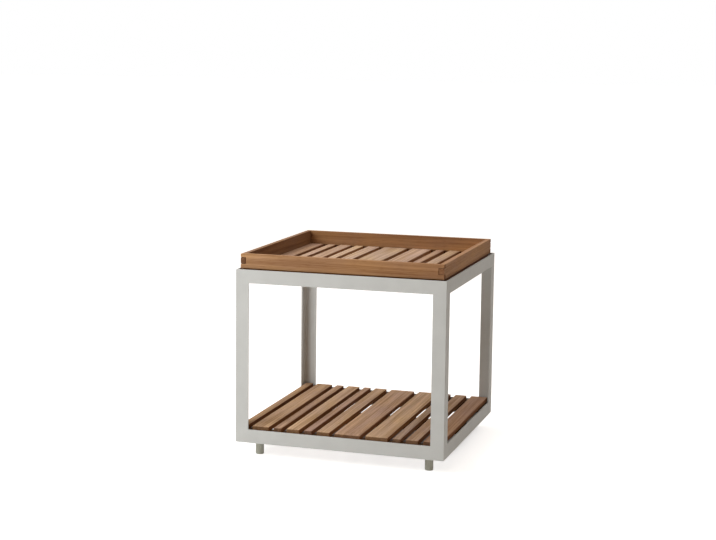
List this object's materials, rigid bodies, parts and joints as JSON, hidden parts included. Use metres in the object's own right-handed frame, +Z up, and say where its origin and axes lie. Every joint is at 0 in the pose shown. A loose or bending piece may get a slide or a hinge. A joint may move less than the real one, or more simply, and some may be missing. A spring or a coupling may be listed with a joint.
{
  "type": "side table",
  "caption": "Square outdoor side table: a light grey angle-section metal frame on screw feet, with a slatted teak shelf below and a lift-off slatted teak tray on top.",
  "frame": {"origin": "on the floor under the middle of the table, with the feet screwed right in", "axes": "+Z up, +X to the right, front facing -Y, slats running along Y"},
  "size_m": [0.5, 0.5, 0.4785],
  "materials": {
    "frame_coating": "light grey satin powder coat on aluminium angle",
    "foot_plastic": "moulded grey plastic",
    "steel": "plain stainless",
    "shelf_teak": "unfinished teak, sanded",
    "tray_teak": "unfinished teak, sanded"
  },
  "bodies": {
    "frame": {"back_bottom_rail": "frame_coating", "back_left_corner_plate": "frame_coating", "back_left_post": "frame_coating", "back_right_corner_plate": "frame_coating", "back_right_post": "frame_coating", "back_top_rail": "frame_coating", "front_bottom_rail": "frame_coating", "front_left_corner_plate": "frame_coating", "front_left_post": "frame_coating", "front_right_corner_plate": "frame_coating", "front_right_post": "frame_coating", "front_top_rail": "frame_coating", "left_bottom_rail": "frame_coating", "left_top_rail": "frame_coating", "right_bottom_rail": "frame_coating", "right_top_rail": "frame_coating", "shelf_batten_back": "shelf_teak", "shelf_batten_front": "shelf_teak", "shelf_batten_middle": "shelf_teak", "shelf_fixing_screws": "steel", "shelf_slat_01": "shelf_teak", "shelf_slat_02": "shelf_teak", "shelf_slat_03": "shelf_teak", "shelf_slat_04": "shelf_teak", "shelf_slat_05": "shelf_teak", "shelf_slat_06": "shelf_teak", "shelf_slat_07": "shelf_teak", "shelf_slat_08": "shelf_teak", "shelf_slat_09": "shelf_teak", "shelf_slat_10": "shelf_teak", "shelf_slat_11": "shelf_teak", "weld_nuts": "steel"},
    "tray": {"tray_back_wall": "tray_teak", "tray_batten_back": "tray_teak", "tray_batten_front": "tray_teak", "tray_batten_middle": "tray_teak", "tray_front_wall": "tray_teak", "tray_left_wall": "tray_teak", "tray_right_wall": "tray_teak", "tray_slat_01": "tray_teak", "tray_slat_02": "tray_teak", "tray_slat_03": "tray_teak", "tray_slat_04": "tray_teak", "tray_slat_05": "tray_teak", "tray_slat_06": "tray_teak", "tray_slat_07": "tray_teak", "tray_slat_08": "tray_teak", "tray_slat_09": "tray_teak", "tray_slat_10": "tray_teak"},
    "foot_front_left": {"front_left_foot": "foot_plastic", "front_left_foot_stud": "steel"},
    "foot_front_right": {"front_right_foot": "foot_plastic", "front_right_foot_stud": "steel"},
    "foot_back_right": {"back_right_foot": "foot_plastic", "back_right_foot_stud": "steel"},
    "foot_back_left": {"back_left_foot": "foot_plastic", "back_left_foot_stud": "steel"}
  },
  "joints": [
    {"name": "tray_lift", "type": "slide", "parent": "frame", "child": "tray", "axis": [0, 0, 1], "range_m": [0, 0.08]},
    {"name": "front_left_foot_screw", "type": "slide", "parent": "frame", "child": "foot_front_left", "axis": [0, 0, -1], "range_m": [0, 0.01]},
    {"name": "front_right_foot_screw", "type": "slide", "parent": "frame", "child": "foot_front_right", "axis": [0, 0, -1], "range_m": [0, 0.01]},
    {"name": "back_right_foot_screw", "type": "slide", "parent": "frame", "child": "foot_back_right", "axis": [0, 0, -1], "range_m": [0, 0.01]},
    {"name": "back_left_foot_screw", "type": "slide", "parent": "frame", "child": "foot_back_left", "axis": [0, 0, -1], "range_m": [0, 0.01]}
  ]
}
